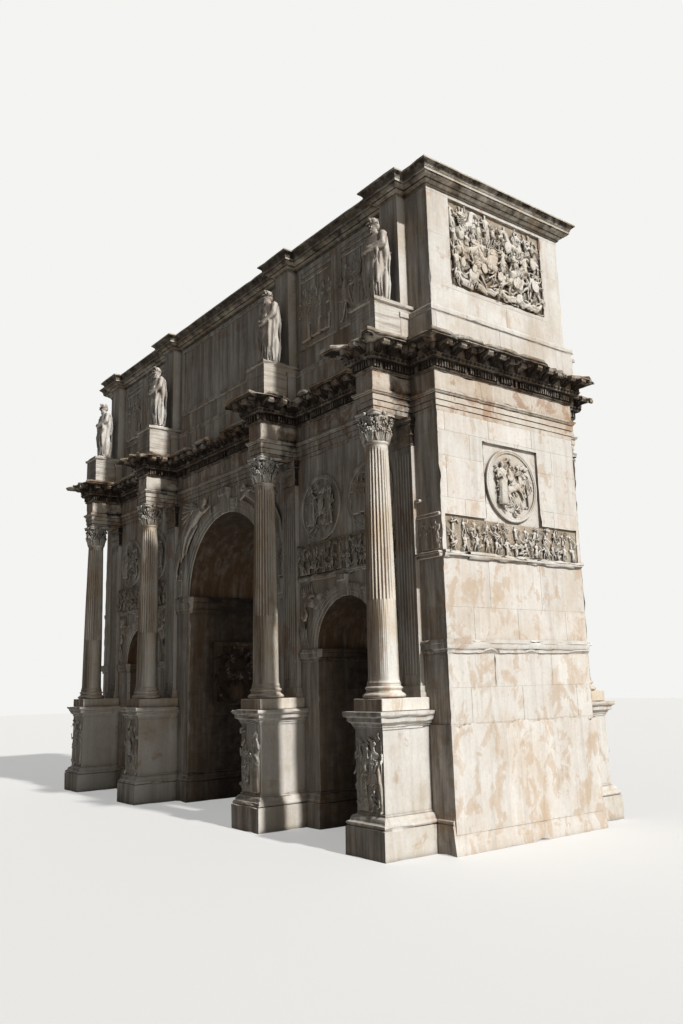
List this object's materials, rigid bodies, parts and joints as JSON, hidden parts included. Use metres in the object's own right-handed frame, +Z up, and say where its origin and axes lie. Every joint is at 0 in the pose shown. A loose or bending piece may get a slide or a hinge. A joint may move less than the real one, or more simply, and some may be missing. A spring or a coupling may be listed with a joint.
{
  "type": "triumphal arch",
  "caption": "Free-standing masonry triumphal arch: wide central passage, lower side passages, fluted columns on pedestals, broken entablature, tall attic with statues and relief panels.",
  "frame": {"origin": "centre of the footprint on the ground", "axes": "+X along the length of the walls, +Y from the front face to the back face, +Z up"},
  "size_m": [27.3, 11.39, 21.11],
  "materials": {
    "warm_marble": "weathered ashlar marble with tan stains",
    "pale_marble": "weathered carved marble",
    "grey_marble": "worn grey marble",
    "dark_marble": "marble dark with weathering crust"
  },
  "bodies": {
    "root": {"outer_piers": "warm_marble", "inner_piers": "warm_marble", "pier_plinths": "warm_marble", "side_vaults": "warm_marble", "central_vault": "warm_marble", "side_imposts": "pale_marble", "central_imposts": "pale_marble", "front_pedestals": "pale_marble", "back_pedestals": "pale_marble", "front_column_bases": "pale_marble", "back_column_bases": "pale_marble", "front_column_shafts": "pale_marble", "back_column_shafts": "pale_marble", "front_column_capitals": "pale_marble", "back_column_capitals": "pale_marble", "front_pilasters": "warm_marble", "back_pilasters": "warm_marble", "pilaster_capitals": "pale_marble", "side_archivolts": "warm_marble", "central_archivolts": "warm_marble", "keystones": "pale_marble", "front_relief_bands": "pale_marble", "back_relief_bands": "pale_marble", "end_relief_bands": "pale_marble", "band_ledges": "pale_marble", "front_roundels": "pale_marble", "back_roundels": "pale_marble", "end_roundels": "pale_marble", "architrave": "warm_marble", "frieze_course": "warm_marble", "main_cornice": "dark_marble", "front_statue_blocks": "pale_marble", "back_statue_blocks": "pale_marble", "front_statues": "warm_marble", "back_statues": "warm_marble", "attic_base": "warm_marble", "attic_walls": "warm_marble", "attic_piers": "pale_marble", "attic_face_panels": "pale_marble", "attic_end_panels": "pale_marble", "inscription_panels": "pale_marble", "attic_cornice": "grey_marble", "roof": "grey_marble", "passage_panels": "pale_marble"}
  },
  "joints": []
}
